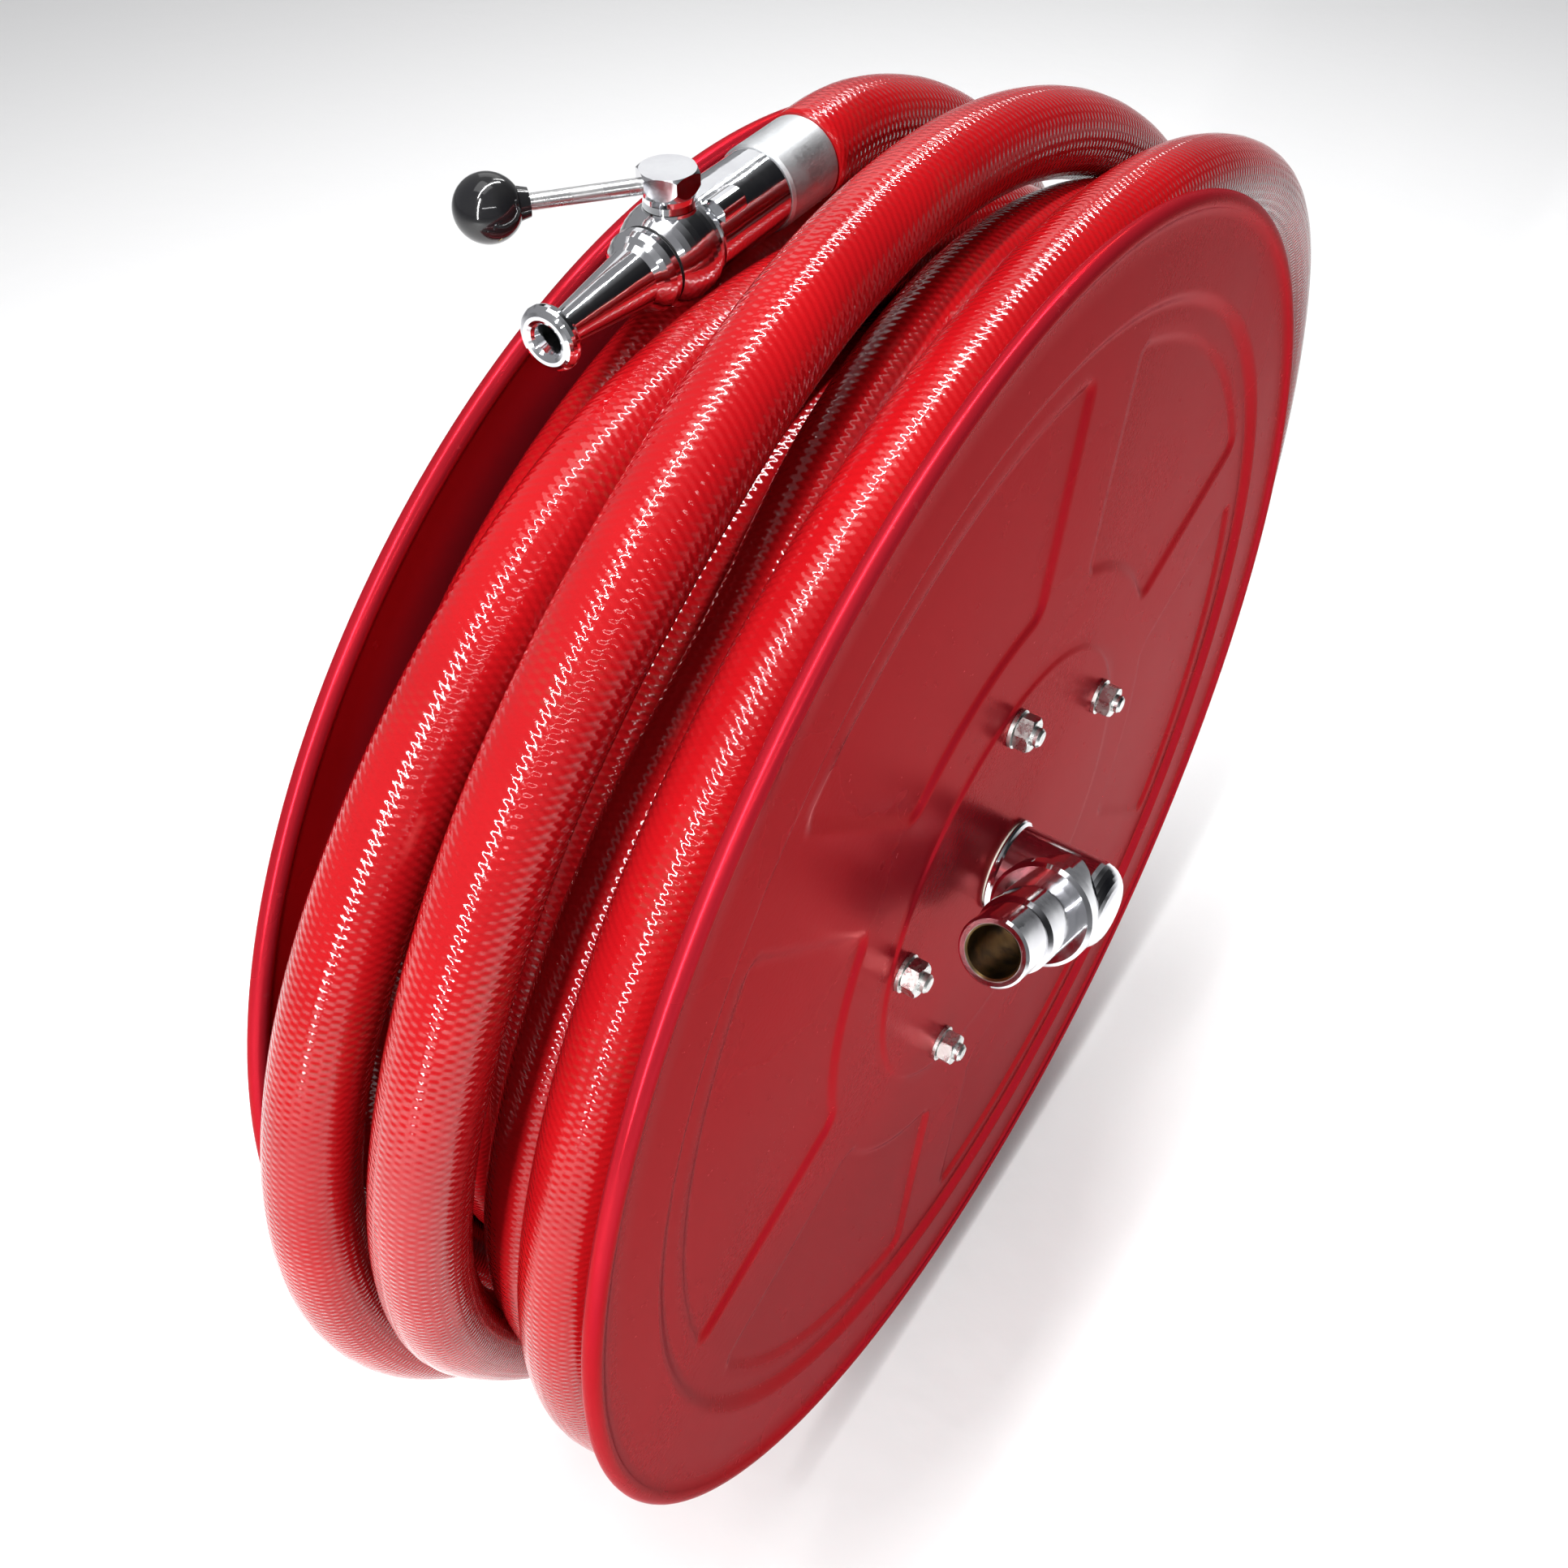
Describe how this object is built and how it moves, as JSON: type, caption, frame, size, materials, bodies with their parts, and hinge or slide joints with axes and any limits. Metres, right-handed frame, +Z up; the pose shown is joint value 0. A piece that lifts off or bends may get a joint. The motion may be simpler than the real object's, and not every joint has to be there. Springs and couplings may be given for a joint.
{
  "type": "fire hose reel",
  "caption": "Swivelling fire hose reel: pressed steel discs on a drum core, water-fed spindle with inlet elbow, wound hose with a lever-operated ball-valve nozzle",
  "frame": {"origin": "on the reel's axis, in the plain stub of the fixed spindle that a wall bracket clamps, 100 mm from the middle of the reel", "axes": "+Y along the reel's axis, out of the stub's free end and away from the inlet elbow; +Z up, the side the nozzle lies on; the nozzle points along -X, within 1 degree"},
  "size_m": [0.604, 0.2382, 0.608],
  "materials": {
    "chrome": "bright chrome plating on cast brass, lightly handled",
    "spindle_brass": "turned brass, smooth running surface",
    "cast_brass": "sand-cast brass with turned faces",
    "black_rubber": "matt black rubber",
    "bearing_nylon": "off-white nylon",
    "white_seat": "white PTFE",
    "spring_steel": "plain spring steel",
    "zinc_steel": "zinc-plated steel",
    "rod_steel": "satin steel",
    "ball_chrome": "polished chrome-plated ball",
    "ferrule_aluminium": "matt aluminium",
    "crimson_paint": "glossy crimson powder coat",
    "red_hose": "glossy red rubber cover over braid, raised lattice",
    "black_gloss": "glossy black phenolic"
  },
  "bodies": {
    "spindle_body": {"spindle": "spindle_brass", "inlet_elbow": "chrome", "inlet_nipple": "chrome", "spindle_o_rings": "black_rubber", "far_thrust_washer": "bearing_nylon", "retaining_ring": "spring_steel"},
    "reel_body": {"drum_core": "crimson_paint", "near_disc": "crimson_paint", "far_disc": "crimson_paint", "near_hub_plate": "zinc_steel", "far_hub_plate": "zinc_steel", "near_bush": "bearing_nylon", "far_bush": "bearing_nylon", "waterway_hub": "cast_brass", "hub_screws": "zinc_steel", "outlet_elbow": "cast_brass", "hose_clamp": "spring_steel", "near_bolts": "zinc_steel", "near_washers": "zinc_steel", "near_nuts": "zinc_steel", "far_bolts": "zinc_steel", "far_washers": "zinc_steel", "far_nuts": "zinc_steel", "hose_lead": "red_hose", "hose_coil": "red_hose", "hose_end": "red_hose", "ferrule": "ferrule_aluminium", "nozzle_body": "chrome", "nozzle_tip": "chrome", "tip_gasket": "black_rubber", "ball_seats": "white_seat", "stem_seal": "black_rubber"},
    "lever_body": {"valve_ball": "ball_chrome", "valve_stem": "rod_steel", "lever_hub": "chrome", "lever_rod": "rod_steel", "ball_knob": "black_gloss"}
  },
  "joints": [
    {"name": "reel_spin", "type": "hinge", "parent": "spindle_body", "child": "reel_body", "pos_m": [0, -0.1, 0], "axis": [0, 1, 0], "continuous": true},
    {"name": "lever_turn", "type": "hinge", "parent": "reel_body", "child": "lever_body", "pos_m": [-0.0546, -0.0519, 0.2724], "axis": [0, 0, 1], "range_deg": [-50, 40]}
  ]
}
